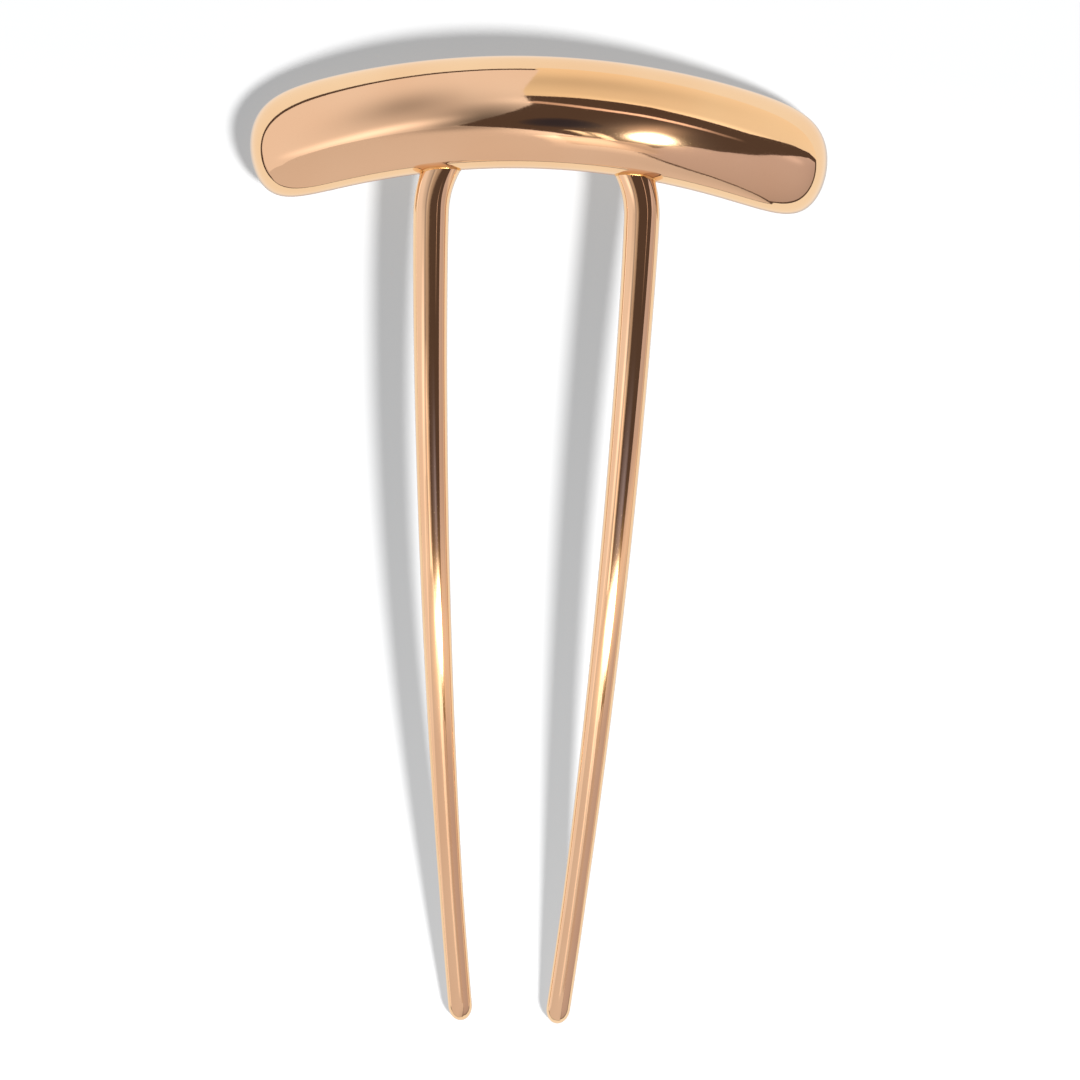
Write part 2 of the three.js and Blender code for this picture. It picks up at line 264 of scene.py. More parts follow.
def head_plan(head, along, across):
    """Plan point on the head: along is measured on the centre arc, across outwards from it.

    The centre arc is a circle of arc_radius. The cross section there is turned by section_turn times the
    arc's angle.
    """
    angle = along / head.arc_radius
    turn = angle * head.section_turn
    centre = head.top - head.width / 2
    x = head.arc_radius * np.sin(angle) + across * np.sin(turn)
    y = centre - head.arc_radius * (1 - np.cos(angle)) + across * np.cos(turn)
    return x, y


def end_taper(place, power):
    """Share of full width or height left at a place along the half: the root of 1 minus place to a power."""
    return np.sqrt(np.maximum(0, 1 - np.abs(place) ** power))


def closer_to_ends(step):
    """Places along the head for even steps from -1 to 1, closer together towards the ends.

    Each is the step times 2 minus its size.
    """
    return step * (2 - np.abs(step))


def shell_skin(head, bend, place, angle, height, side, inset):
    """Points on one shell's skin, bent over the form: side is 1 for the front shell and -1 for the back one.

    Across the head it is half an ellipse: the cosine of angle gives the place across, its sine the height
    over the rim. Along the head the width and the height shrink with end_taper. inset draws the skin in.
    """
    half_width = (head.width / 2 - inset) * end_taper(place, head.end_power)
    x, y = head_plan(head, (head.half_length - inset) * place, half_width * np.cos(angle))
    rim = side * head.seam / 2
    rise = side * (height - inset) - rim
    z = rim + rise * end_taper(place, head.rise_power) * np.sin(angle)
    return np.stack([x, y, z + bend(x, y)], axis=-1)


def skin_heights(head, x, y):
    """Heights of the front and back skins over a flat plan point, before bending.

    The place along and across the head is found by turning head_plan round a few times, and the heights
    follow from the ellipse there. Both are zero outside the outline.
    """
    along = head.arc_radius * np.arcsin(np.clip(x / head.arc_radius, -1, 1))
    for _ in range(PLACE_ROUNDS):
        turn = along / head.arc_radius * head.section_turn
        across = (y - head_plan(head, along, 0.0)[1]) / np.cos(turn)
        along = head.arc_radius * np.arcsin(np.clip((x - across * np.sin(turn)) / head.arc_radius, -1, 1))
    place = np.clip(along / head.half_length, -1, 1)
    half_width = np.maximum(head.width / 2 * end_taper(place, head.end_power), SAME_POINT)
    share = np.sqrt(np.maximum(0, 1 - (across / half_width) ** 2)) * end_taper(place, head.rise_power)
    rim = head.seam / 2
    front = (rim + (head.dome_height - rim) * share) * (share > 0)
    back = (rim + (head.back_depth - rim) * share) * (share > 0)
    return front, back


# Shape of the rod


def rod_line(head, rod):
    """Lengths, plan points and headings on the rod's right half, from the crown of the bow down to the tip.

    A quarter circle is followed by a cubic Bezier curve that leaves the bow straight down and arrives at the
    tip with its toe-in.
    """
    centre = head.top - rod.crown_setback - rod.bow_radius
    angle = np.linspace(0, math.pi / 2, BOW_POINTS)
    bow = rod.bow_radius * np.stack([np.sin(angle), np.cos(angle)], axis=-1) + (0, centre)
    start = np.array([rod.bow_radius, centre])
    lead = start - (0, rod.root_reach)
    tip = np.array([rod.tip_half_spacing, rod.tip])
    trail = tip + (rod.tip_reach * math.tan(rod.toe_in), rod.tip_reach)
    t = np.linspace(0, 1, PRONG_POINTS)[1:, None]
    prong = (1 - t) ** 3 * start + 3 * (1 - t) ** 2 * t * lead + 3 * (1 - t) * t**2 * trail + t**3 * tip
    points = np.concatenate([bow, prong])
    headings = np.gradient(points, axis=0)
    headings /= np.linalg.norm(headings, axis=1, keepdims=True)
    steps = np.linalg.norm(np.diff(points, axis=0), axis=1)
    return np.concatenate([[0], np.cumsum(steps)]), points, headings


def rod_surface(head, rod, bend, length_from_crown, angle, grow=0.0):
    """Points on the rod at signed lengths from the crown, left being negative, moved out by grow.

    The section is an ellipse squared up by section_power: the sum of that power of its two half-axis shares
    is 1. It tapers evenly from root to plain stretch and closes at the tip like the end of an ellipsoid. It
    stands square to the centre line in plan, and the centre line is bent over the form.
    """
    lengths, points, headings = rod_line(head, rod)
    reach = np.abs(length_from_crown)
    side = np.where(length_from_crown < 0, -1.0, 1.0)
    x, y = (np.interp(reach, lengths, points[:, axis]) for axis in (0, 1))
    heading_x, heading_y = (np.interp(reach, lengths, headings[:, axis]) for axis in (0, 1))
    bow_length = rod.bow_radius * math.pi / 2
    to_tip = lengths[-1] - reach
    taper = np.clip((to_tip - rod.plain_length) / (lengths[-1] - bow_length - rod.plain_length), 0, 1)
    closing = np.sqrt(1 - np.clip(1 - to_tip / rod.round_length, 0, 1) ** 2)
    half_width, half_thickness = (
        (thin + (thick - thin) * taper) / 2 * closing + grow
        for thin, thick in ((rod.tip_width, rod.root_width), (rod.tip_thickness, rod.root_thickness))
    )
    power = np.abs(np.cos(angle)) ** rod.section_power + np.abs(np.sin(angle)) ** rod.section_power
    squared = power ** (-1 / rod.section_power)
    out = half_width * squared * np.cos(angle)
    plan_y = y + out * heading_x
    z = half_thickness * squared * np.sin(angle) + bend(x, plan_y)
    return np.stack([side * (x - out * heading_y), plan_y, z], axis=-1)


def rod_lengths(head, rod, prong_steps):
    """Lengths from the crown to the right tip, close together on the rounded tip.

    Bow and prong are stepped evenly, and the rounded tip by the sine of even angles.
    """
    bow_length = rod.bow_radius * math.pi / 2
    full = rod_line(head, rod)[0][-1]
    bow = np.linspace(0, bow_length, prong_steps // PRONG_TO_BOW_STEPS, endpoint=False)
    prong = np.linspace(bow_length, full - rod.round_length, prong_steps, endpoint=False)
    closing = np.linspace(0, math.pi / 2, prong_steps // PRONG_TO_TIP_STEPS)
    tip = full - rod.round_length * (1 - np.sin(closing))
    return np.concatenate([bow, prong, tip])


def form(rod, apex, lift):
    """The form that everything is bent over, as a function of plan points.

    It falls away from its apex by the square of the distance along the prongs over twice the lengthwise
    radius, and by the square of that along the head over twice the crosswise one. lift raises all of it.
    """

    def height(x, y):
        lengthwise = (y - apex) ** 2 / (2 * rod.lengthwise_radius)
        return lift - lengthwise - x**2 / (2 * rod.crosswise_radius)

    return height


def resting_form(head, rod):
    """The form whose apex lets the tips and the head's ends touch one flat table, found by halving."""
    places = closer_to_ends(np.linspace(-1, 1, RESTING_SHELL_GRID[0]))[:, None]
    angles = np.linspace(0, math.pi, RESTING_SHELL_GRID[1])[None, :]
    lengths = rod_lengths(head, rod, RESTING_ROD_GRID[0])[:, None]
    round_angles = np.linspace(0, math.tau, RESTING_ROD_GRID[1])[None, :]

    def lowest(apex):
        bend = form(rod, apex, 0.0)
        shell = shell_skin(head, bend, places, angles, head.back_depth, -1, 0.0)[..., 2].min()
        return rod_surface(head, rod, bend, lengths, round_angles)[..., 2].min(), shell

    near, far = rod.tip, head.top
    for _ in range(SEARCH_STEPS):
        apex = (near + far) / 2
        prong, shell = lowest(apex)
        near, far = (apex, far) if prong > shell else (near, apex)
    return form(rod, near, CLEAR_OF_TABLE - min(lowest(near)))


def fork_settings(context):
    """Sizes of head, rod and filler, the finish, and the form that the fork is bent over."""
    settings = context.scene.hair_fork
    bend = resting_form(settings.head, settings.rod)
    return settings.head, settings.rod, settings.filler, settings.finish, bend


# Meshes


def new_mesh(name, points, joins_rows=False, joins_columns=False):
    """A mesh through a grid of points, four to a face, whose last row or column may join the first."""
    rows, columns = points.shape[:2]
    corner = np.arange(rows * columns).reshape(rows, columns)
    down = np.roll(corner, -1, axis=0)
    right = np.roll(corner, -1, axis=1)
    both = np.roll(down, -1, axis=1)
    quads = np.stack([corner, right, both, down], axis=-1)
    quads = quads[: rows if joins_rows else rows - 1, : columns if joins_columns else columns - 1]
    mesh = bpy.data.meshes.new(name)
    mesh.from_pydata(points.reshape(-1, 3).tolist(), [], quads.reshape(-1, 4).tolist())
    return mesh


def mend(mesh, is_new):
    """Takes slivers out of a mesh. In a new one, equal points also become one and faces turn outwards."""
    work = bmesh.new()
    work.from_mesh(mesh)
    if is_new:
        bmesh.ops.remove_doubles(work, verts=work.verts, dist=SAME_POINT)
    bmesh.ops.dissolve_degenerate(work, edges=work.edges, dist=SAME_POINT)
    if is_new:
        bmesh.ops.recalc_face_normals(work, faces=work.faces)
    work.to_mesh(mesh)
    work.free()


def round_mesh(name, points, joins_rows=False):
    """A smooth mesh through a grid of points whose last column joins the first."""
    mesh = new_mesh(name, points, joins_rows, True)
    mend(mesh, True)
    mesh.shade_smooth()
    return mesh


def with_closed_ends(points):
    """The rows of points with a row at each end that is shrunk to the middle of its neighbour."""
    first = np.broadcast_to(points[:1].mean(axis=1, keepdims=True), points[:1].shape)
    last = np.broadcast_to(points[-1:].mean(axis=1, keepdims=True), points[-1:].shape)
    return np.concatenate([first, points, last])


def once_round(count):
    """Even angles round a full turn, the last one a step before the first."""
    return np.linspace(0, math.tau, count, endpoint=False)


def rings(radius, height, around):
    """Rings of points round the Z axis: radius times the angle's cosine and times its sine, and height."""
    return np.stack([radius * np.cos(around), radius * np.sin(around), height + 0 * around], axis=-1)


def add_object(name, data):
    """A new object in the scene."""
    made = bpy.data.objects.new(name, data)
    bpy.context.scene.collection.objects.link(made)
    return made


def carve(mesh, tool, operation):
    """The mesh with a closed tool mesh cut from it or joined to it, and the slivers of that taken out."""
    bodies = [add_object(part.name, part) for part in (mesh, tool)]
    cut = bodies[0].modifiers.new("carve", "BOOLEAN")
    cut.operation = operation
    cut.solver = "EXACT"
    cut.object = bodies[1]
    evaluated = bodies[0].evaluated_get(bpy.context.evaluated_depsgraph_get())
    carved = bpy.data.meshes.new_from_object(evaluated)
    for body in bodies:
        bpy.data.objects.remove(body)
    for part in (mesh, tool):
        bpy.data.meshes.remove(part)
    mend(carved, False)
    return carved


def add_piece(name, mesh, material, slot, *nodes):
    """A finished piece of the fork, which rides on the fork's body and stands for CAD nodes."""
    mesh.name = name
    mesh.materials.clear()
    mesh.materials.append(material)
    mesh.set_sharp_from_angle(angle=SHARP_EDGE)
    piece = add_object(name, mesh)
    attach(piece, BODY)
    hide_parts(*nodes)


def shell_mesh(head, bend, height, side):
    """A hollow half of the head: the outer skin, the inner skin a wall further in, and a flat rim between."""
    place = closer_to_ends(np.linspace(-1, 1, SHELL_GRID[0]))[:, None]
    angle = np.linspace(0, math.pi, SHELL_GRID[1])[None, :]
    outer = shell_skin(head, bend, place, angle, height, side, 0.0)
    inner = shell_skin(head, bend, place, angle, height, side, head.wall)
    return round_mesh("shell", np.concatenate([outer, inner[:, ::-1]], axis=1))


def rod_mesh(head, rod, bend, grow, grid):
    """The whole rod as a closed tube from the left tip over the crown to the right tip, moved out by grow."""
    right = rod_lengths(head, rod, grid[0])
    signed = np.concatenate([-right[:0:-1], right])[:, None]
    points = rod_surface(head, rod, bend, signed, once_round(grid[1])[None, :], grow)
    return round_mesh("rod", with_closed_ends(points))


def rounded_edge(radius):
    """Steps of a quarter circle that rounds an edge: how far they lie inside its flank, and behind its face.

    These are radius times 1 minus the sine and radius times 1 minus the cosine.
    """
    angle = np.linspace(0, math.pi / 2, ROUND_STEPS)
    return radius * (1 - np.sin(angle)), radius * (1 - np.cos(angle))


def vent_tool(head, bend, side):
    """Drill for a vent hole: a cylinder whose mouth flares in a quarter circle to a worn edge."""
    x, y = head_plan(head, side * head.vent_spacing / 2, 0.0)
    floor = bend(x, y) - head.back_depth
    flare, behind = rounded_edge(head.vent_flare)
    bore = head.vent / 2
    radius = np.concatenate([[bore + head.vent_flare], bore + flare, [bore]])[:, None]
    depth = np.concatenate([[-head.wall], behind, [2 * head.wall]])[:, None]
    points = rings(radius, depth, once_round(VENT_SIDES)[None, :]) + (x, y, floor)
    return round_mesh("vent", with_closed_ends(points))


def land_tool(head, rod, bend):
    """Flat oval land: a plateau with a rounded edge and straight flanks, square to the form at mid-head.

    Rings of an ellipse run from the middle of its face over a quarter round of land_edge and up the flank.
    """
    centre = head.top - head.width / 2
    rise = bend(0.0, centre + SLOPE_STEP) - bend(0.0, centre - SLOPE_STEP)
    slope = math.atan(rise / (2 * SLOPE_STEP))
    sag = (head.land_length / 2) ** 2 / (2 * rod.crosswise_radius)
    face = head.back_depth + head.land_rise + sag
    flank = head.land_rise + sag + head.wall
    inside, behind = rounded_edge(head.land_edge)
    flat = np.linspace(0, 1, LAND_GRID[0], endpoint=False)
    around = once_round(LAND_GRID[1])[None, :]
    share = np.concatenate([flat, np.ones(len(inside) + 1)])[:, None]
    inset = np.concatenate([np.full_like(flat, head.land_edge), inside, [0.0]])[:, None]
    height = np.concatenate([np.zeros_like(flat), behind, [flank]])[:, None]
    x = share * (head.land_length / 2 - inset) * np.cos(around)
    across = share * (head.land_width / 2 - inset) * np.sin(around)
    down = height - face + 0 * around
    y = centre + across * math.cos(slope) - down * math.sin(slope)
    z = bend(0.0, centre) + across * math.sin(slope) + down * math.cos(slope)
    return round_mesh("land", with_closed_ends(np.stack([x, y, z], axis=-1)))


def rim_mesh(head, bend, filler, start, end):
    """A run of rim solder, from one place on the head's outline to another.

    Places go from 0 to 2 along the lower edge from left to right and from 2 to 4 back along the upper edge.
    The profile carried along them fills the seam between the rims. Outside it is a shallow groove: its inset
    goes from groove in the middle to flush at the rims, with the square of the height.
    """
    height = head.seam / 2 * RIM_OVERLAP
    level = np.linspace(-1, 1, RIM_GRID[1])
    inset = filler.groove + (filler.flush - filler.groove) * level**2
    profile_inset = np.concatenate([inset, [head.wall, head.wall]])[None, :]
    profile_height = np.concatenate([height * level, [height, -height]])[None, :]
    step = np.linspace(start, end, int(RIM_GRID[0] * (end - start)))[:, None] % 4
    is_upper = step > 2
    place = closer_to_ends(np.where(is_upper, 3 - step, step - 1))
    half_width = (head.width / 2 - profile_inset) * end_taper(place, head.end_power)
    across = np.where(is_upper, half_width, -half_width)
    x, y = head_plan(head, (head.half_length - profile_inset) * place, across)
    points = np.stack([x, y, profile_height + bend(x, y)], axis=-1)
    return round_mesh("rim", with_closed_ends(points))


def exit_length(head, rod, bend, angle, grow):
    """Length from the crown at which a line along the rod leaves the head's outer skin, found by halving."""
    near = np.zeros(np.broadcast(angle, grow).shape)
    far = np.full_like(near, rod_line(head, rod)[0][-1] / 2)
    for _ in range(SEARCH_STEPS):
        middle = (near + far) / 2
        x, y, z = np.moveaxis(rod_surface(head, rod, bend, middle, angle, grow), -1, 0)
        above = z - bend(x, y)
        front, back = skin_heights(head, x, y)
        is_inside = (above < front) & (above > -back)
        near, far = np.where(is_inside, middle, near), np.where(is_inside, far, middle)
    return near


def braze_mesh(head, rod, bend, filler, side):
    """Meniscus of braze round a prong, where the prong leaves the head.

    Seen from its side it is a parabola that leaves the head's skin along the skin and dips into the prong at
    a low angle: its distance from the prong is flare plus dip, times the square of 1 minus share, less dip.
    Its distance from the skin is length times share squared. A hidden return inside the prong and the head's
    wall closes it.
    """
    share = np.linspace(0, 1, BRAZE_GRID[0])
    meniscus = (filler.braze_flare + filler.braze_dip) * (1 - share) ** 2 - filler.braze_dip
    grow = np.concatenate([meniscus, [-filler.clearance, -filler.clearance]])[None, :]
    past = np.concatenate([filler.braze_length * share**2, [filler.braze_length, -head.wall]])[None, :]
    angle = once_round(BRAZE_GRID[1])[:, None]
    outside = exit_length(head, rod, bend, angle, np.maximum(grow, 0.0))
    points = rod_surface(head, rod, bend, side * (outside + past), angle, grow)
    root = rod_surface(head, rod, bend, side * (outside[:, :1] - head.wall), angle, grow[:, :1])
    return round_mesh("braze", np.concatenate([points, root], axis=1), joins_rows=True)


# Materials

PATTERN_RANGE = (0.3, 0.7)  # where most of a noise pattern's values lie
SHADE_RANGE = (0.35, 0.65)  # where one shade of a metal goes over into the other


def add_node(tree, kind, inputs, **settings):
    """A node with its settings, whose inputs are values or the outputs that link to them."""
    node = tree.nodes.new(kind)
    for name, value in settings.items():
        setattr(node, name, value)
    for name, value in inputs.items():
        if isinstance(value, bpy.types.NodeSocket):
            tree.links.new(value, node.inputs[name])
        else:
            node.inputs[name].default_value = value
    return node


def new_material(name):
    """An empty node material and its tree."""
    material = bpy.data.materials.new(name)
    material.use_nodes = True
    material.node_tree.nodes.clear()
    return material, material.node_tree


def metal(name, shades, patterns, dulling, reliefs):
    """A metal of two shades, made the first time that a piece asks for it.

    patterns gives each noise pattern's width in millimetres and its detail. The shades follow the pattern
    called patches. dulling names the pattern that the roughness follows, and the roughness at its two ends.
    reliefs names the patterns that the surface is uneven by, with their heights in millimetres.
    """
    if name in bpy.data.materials:
        return bpy.data.materials[name]
    material, tree = new_material(name)
    place = add_node(tree, "ShaderNodeTexCoord", {}).outputs["Object"]
    noises = {}
    for pattern, (width, detail) in patterns.items():
        inputs = {"Vector": place, "Scale": 1 / (width * MILLIMETRE), "Detail": detail}
        noises[pattern] = add_node(tree, "ShaderNodeTexNoise", inputs).outputs["Fac"]
    ramp = add_node(tree, "ShaderNodeValToRGB", {"Fac": noises["patches"]})
    for element, place_on_ramp, shade in zip(ramp.color_ramp.elements, SHADE_RANGE, shades):
        element.position = place_on_ramp
        element.color = (*shade, 1.0)
    pattern, start, end = dulling
    low, high = PATTERN_RANGE
    inputs = {"Value": noises[pattern], "From Min": low, "From Max": high, "To Min": start, "To Max": end}
    roughness = add_node(tree, "ShaderNodeMapRange", inputs)
    looks = {"Base Color": ramp.outputs["Color"], "Metallic": 1.0, "Roughness": roughness.outputs["Result"]}
    normal = {}
    for pattern, height in reliefs:
        inputs = {"Height": noises[pattern], "Strength": 1.0, "Distance": height * MILLIMETRE}
        normal = {"Normal": add_node(tree, "ShaderNodeBump", inputs | normal).outputs["Normal"]}
    shader = add_node(tree, "ShaderNodeBsdfPrincipled", looks | normal)
    add_node(tree, "ShaderNodeOutputMaterial", {"Surface": shader.outputs["BSDF"]})
    return material


def polished_gold(finish):
    """Gold plating on brass, buffed to a mirror.

    Plating follows the brass below it, so the mirror is clear but not perfect: buffing leaves shallow waves a
    few millimetres long that bend the edges of reflections, and a faint haze of fine buffing marks.
    """
    # Real buffing marks are some micrometres wide. These are a quarter of a millimetre, so that they show.
    patterns = {"patches": (14, 2.0), "waves": (5, 1.0), "marks": (0.25, 3.0)}
    reliefs = (("waves", 0.012), ("marks", 0.0004))
    shades = (finish.gold_worn, finish.gold)
    return metal("mirror_polished_gold_plate", shades, patterns, ("marks", 0.03, 0.06), reliefs)


def plated_braze(finish):
    """Brazing filler under the same plating: it froze as a meniscus, with fine ripples and less polish."""
    patterns = {"patches": (1.6, 2.0), "ripples": (0.5, 2.0)}
    reliefs = (("ripples", 0.01),)
    shades = (finish.braze_deep, finish.braze)
    return metal("gold_plated_brazing_filler", shades, patterns, ("ripples", 0.09, 0.2), reliefs)


def raw_solder(finish):
    """Solder as it froze inside the head: dull, grainy and stained brown by flux in patches."""
    patterns = {"patches": (0.9, 4.0), "grain": (0.15, 2.0)}
    reliefs = (("grain", 0.02),)
    shades = (finish.solder_dark, finish.solder)
    return metal("unpolished_solder", shades, patterns, ("patches", 0.55, 0.38), reliefs)


# Stage

HEAD_PIECES = ("head_front", "head_back", "rim_bead_long", "rim_bead_short")
PRONG_PIECES = ("fork_rod", "root_meniscus_left", "root_meniscus_right")

TABLE_RADII = (0.05, 4.5)  # of its innermost ring and its edge, where the surround stands
TABLE_GRID = (40, 96)
SURROUND_LIGHT = 1.05
CLIP_DISTANCES = (0.05, 20.0)

# Sheets of the tent hang at these distances from the fork: gaps in front of glows, then films, then walls.
GAP_DISTANCE = 1.76
GLOW_DISTANCE = 1.8
FILM_DISTANCE = 1.9
WALL_DISTANCE = 2.0
TENT_STEP = 0.04  # between walls, and between a film and what makes up for it
WALL_GRID = (240, 120)
FLOOR_GRID = (361, 40)
OVAL_GRID = (60, 65)
GAP_GRID = (120, 15)
CORE_FALLOFF = 4  # how much faster a lamp's core fades than its halo
HALO_REACH = 2.5  # how far a halo reaches, in its half axes
EDGE_POWER = 4  # a higher power gives films and gaps sharper edges
STRAIGHT_DOWN = 180  # degrees from the zenith
SHADOW_START = 140  # degrees from the zenith where the fork's own shadow on the mirrored table starts

# Walls of the tent, each nearer than the one after it. An edge lists places along a wall's inner edge:
# degrees right and up from the zenith, then the compass degrees and the lean from the zenith where the wall
# ends below that place. Tints are its colours at the edge's start and end, and levels its brightness at four
# corners: inner start, inner end, outer start and outer end. A patch is a soft oval on it: degrees right and
# up, long and short half axes, turn, and by what share it is brighter or darker.
TENT_WALLS = (
    {
        "name": "lower_middle",
        "tints": ("ffebe9", "ffebe9"),
        "levels": (0.62, 0.62, 0.62, 0.62),
        "edge": [(1.5, -17, 303, 20.2), (1.7, -34, 283.7, 35)],
        "patches": [],
    },
    {
        "name": "lower_right",
        "tints": ("ffecf2", "fff0ff"),
        "levels": (0.62, 0.66, 0.5, 0.53),
        "edge": [
            (7.4, -64, 275, 87), (7.7, -48, 275.5, 86), (7.7, -40, 276, 85), (7.9, -31, 277, 85),
            (10, -24, 280, 84), (14.5, -13, 290, 83), (18.5, -5.2, 305, 83), (23.3, -1.4, 320, 83),
            (29.1, 6, 340, 83), (36.1, 17, 352, 83), (41.4, 24, 360, 83), (47.6, 28, 363, 83),
            (60, 29.5, 367, 83), (80, 22.5, 371.5, 84),
        ],
        "patches": [(42, 20, 6, 5, 0, 0.3)],
    },
    {
        "name": "upper_left",
        "tints": ("fff6fd", "fff6fd"),
        "levels": (0.96, 0.98, 0.96, 0.95),
        "edge": [
            (1.2, 75, 88.4, 87), (-1.7, 46.6, 90, 87), (-0.5, 30, 93, 87), (-3.1, 20, 110, 86.5),
            (-5.6, 14, 130, 85), (-8.1, 6.9, 150, 84), (-9.9, 1.8, 168, 82), (-13, -1.5, 185, 79),
            (-23.3, 0.5, 200, 77), (-30.4, -6.5, 207, 77), (-36, -19, 212, 77),
        ],
        "patches": [
            (-7, 12, 20, 9, 90, -0.74), (-9, 6, 11, 3.5, 68, -0.42), (-21, 36, 20, 9, 90, -0.48),
            (-21, 6, 13, 5, 33, 0.8), (-1.5, 34, 6, 5, 0, 0.28),
        ],
    },
    {
        "name": "lower_left",
        "tints": ("fff4fa", "fff4fa"),
        "levels": (0.75, 0.82, 0.75, 0.79),
        "edge": [
            (-16, 12, 185, 80), (-10.5, 0, 222, 84), (-6.6, -4.6, 232, 90), (-2, -9.4, 246, 92),
            (1.4, -13.2, 255, 94.5), (3.6, -17, 262, 97), (6.2, -24, 268, 99.5), (7.4, -31, 273, 98),
        ],
        "patches": [(3.5, -19, 11, 4, -63, 0.85), (-10, -3, 7, 5, -30, -0.45), (9, -82, 30, 7, 90, -0.3)],
    },
    {
        "name": "upper_right",
        "tints": ("fffaf3", "fff1dc"),
        "levels": (1.04, 0.91, 1.06, 1.07),
        "edge": [
            (88, 27, 12.5, 93), (62, 38.5, 25, 93), (46.7, 39.5, 33, 93), (36.3, 34.5, 42, 93),
            (28.3, 36.9, 52, 93), (20.2, 40.3, 65, 93), (13.4, 41.1, 76, 93), (-3, 42, 88.6, 93),
        ],
        "patches": [(7, 66, 28, 13, 0, -0.24), (27, 38.5, 20, 3, -15, 0.36)],
    },
)

# The edge of the table as the metal mirrors it: compass degrees, and the lean from the zenith. It lies at the
# horizon, and lower where a wall's hem lies on the table.
MIRRORED_TABLE_EDGE = (
    (0, 90), (222, 90), (232, 92), (246, 95), (258, 98),
    (264, 99.5), (268, 101), (273, 99.5), (276, 90), (360, 90),
)

# A smoked film in front of the dark room: its middle and two half axes, as degrees right and up.
SMOKED_FILM = ((2.9, 3.7), (6, 1), (0, 8))

# Lamps and their haze, by the pieces that mirror them: name, middle and two half axes as above, share of the
# bare lamp's brightness, brightness of the halo, and the halo's tint.
TENT_GLOWS = {
    HEAD_PIECES: (
        ("lamp", (14.1, -4.2), (4.1, 2), (2.2, 11.3), 1, 0.5, "ffdfae"),
        ("haze", (13.6, -2), (6.8, 3.2), (3.8, 19), 0, 0.2, "f4f6ff"),
        ("haze_top", (16.5, 9), (3, -1), (4, 9), 0, 0.45, "ffe1d2"),
    ),
    PRONG_PIECES: (
        ("lamp_low", (5.2, -11), (9.5, 0), (0, 4.1), 1, 0.5, "ffdfae"),
        ("haze_middle", (2.8, -4), (3.4, 0), (0, 6), 0, 0.4, "c4ceff"),
        ("haze_right", (50, -10), (30, 0), (0, 6), 0, 0.34, "fff2dc"),
        ("haze_low", (6, -12), (24, 0), (0, 5), 0, 0.45, "ffdfae"),
    ),
}

# Bright gaps and hems between the walls, by the pieces that mirror them: name, half width in degrees, tint,
# path as degrees right and up from the zenith, and brightness along the path.
TENT_GAPS = {
    HEAD_PIECES: (
        (
            "gap", 1.7, "ffe1db",
            [
                (-0.7, 33.4), (4.2, 30.9), (8, 29), (12, 27.6),
                (18.5, 26.9), (23, 25.6), (28, 23.8), (33, 22.5),
            ],
            (0.55, 0.6, 0.85, 1.15, 1.4, 1.3, 0.4, 0.0),
        ),
        ("rim", 4.0, "fff0ea", [(1.5, -17), (5, -24), (6.5, -34)], (0.3, 0.4, 0.05)),
        ("rim_soft", 4.5, "fff0ea", [(2.5, -19), (3.5, -27), (4, -34), (3.5, -46)], (0.5, 0.42, 0.24, 0.0)),
        ("glint", 0.8, "fff3e4", [(3.2, -6.5), (4.4, -8.5), (4.9, -12), (5.2, -16)], (0.3, 1.8, 1.2, 0.1)),
        ("glint_right", 0.9, "fff3e4", [(6.2, -7), (6.8, -12), (7.1, -18)], (0.4, 2.0, 1.2)),
    ),
    PRONG_PIECES: (
        ("gap_low", 1.0, "ffe1db", [(13, 17), (12, 8)], (1.0, 0.0)),
        ("hem", 4.0, "fff0ea", [(-5.5, 18), (-5.5, 9), (-7, 2), (-7, -8)], (0.42, 0.42, 0.65, 0.7)),
        ("hem_edge", 4.0, "fff0ea", [(-10, 7), (-10, 3), (-9.5, -4), (-9, -8)], (0.1, 0.6, 0.4, 0.3)),
        ("seam", 1.0, "fff0ea", [(-1, -14), (-1.3, -20), (-1.3, -34)], (0.6, 0.5, 0.3)),
        (
            "left_skirt", 5.5, "fff6fd",
            [(-60, 59), (-73, 42), (-82, 18), (-84, 0), (-82, -18), (-73, -42)],
            (0.5, 0.75, 0.8, 0.9, 1.0, 1.0),
        ),
        (
            "hem_wide", 4.5, "fff0ea",
            [(-15, -4), (-24, -5.5), (-32, -8), (-40, -13)],
            (0.15, 0.24, 0.24, 0.15),
        ),
        ("right_flank", 9.0, "ffe9a0", [(73, 20), (75, 0), (73, -16), (66, -36)], (0.1, 0.2, 0.24, 0.24)),
        ("right_skirt", 4.0, "ffefff", [(86, 15), (86, 0), (85, -15), (74, -42)], (0.5, 0.5, 0.5, 0.5)),
    ),
}


def between(first, last, share):
    """First where share is 0, last where it is 1, and an even blend between."""
    return first * (1 - share) + last * share


def sky_points(right, up, distance, turn):
    """Points in the sky as a flat mirror on the table shows them to a camera overhead.

    right and up are degrees from the zenith in the picture. The lean from the zenith is their distance, and
    the compass direction is theirs, turned with the picture.
    """
    lean = np.radians(np.hypot(right, up))
    compass = np.arctan2(up, right) + turn
    flat = np.sin(lean) * distance
    return np.stack([flat * np.cos(compass), flat * np.sin(compass), np.cos(lean) * distance], axis=-1)


def glowing(name, is_clear):
    """A sheet that gives the light that its colour attribute says. A clear one also lets light through."""
    material, tree = new_material(name)
    light = add_node(tree, "ShaderNodeAttribute", {}, attribute_name="light")
    shader = add_node(tree, "ShaderNodeEmission", {"Color": light.outputs["Color"], "Strength": 1.0})
    surface = shader.outputs["Emission"]
    if is_clear:
        clear = add_node(tree, "ShaderNodeBsdfTransparent", {})
        both = add_node(tree, "ShaderNodeAddShader", {0: surface, 1: clear.outputs["BSDF"]})
        surface = both.outputs["Shader"]
    add_node(tree, "ShaderNodeOutputMaterial", {"Surface": surface})
    return material


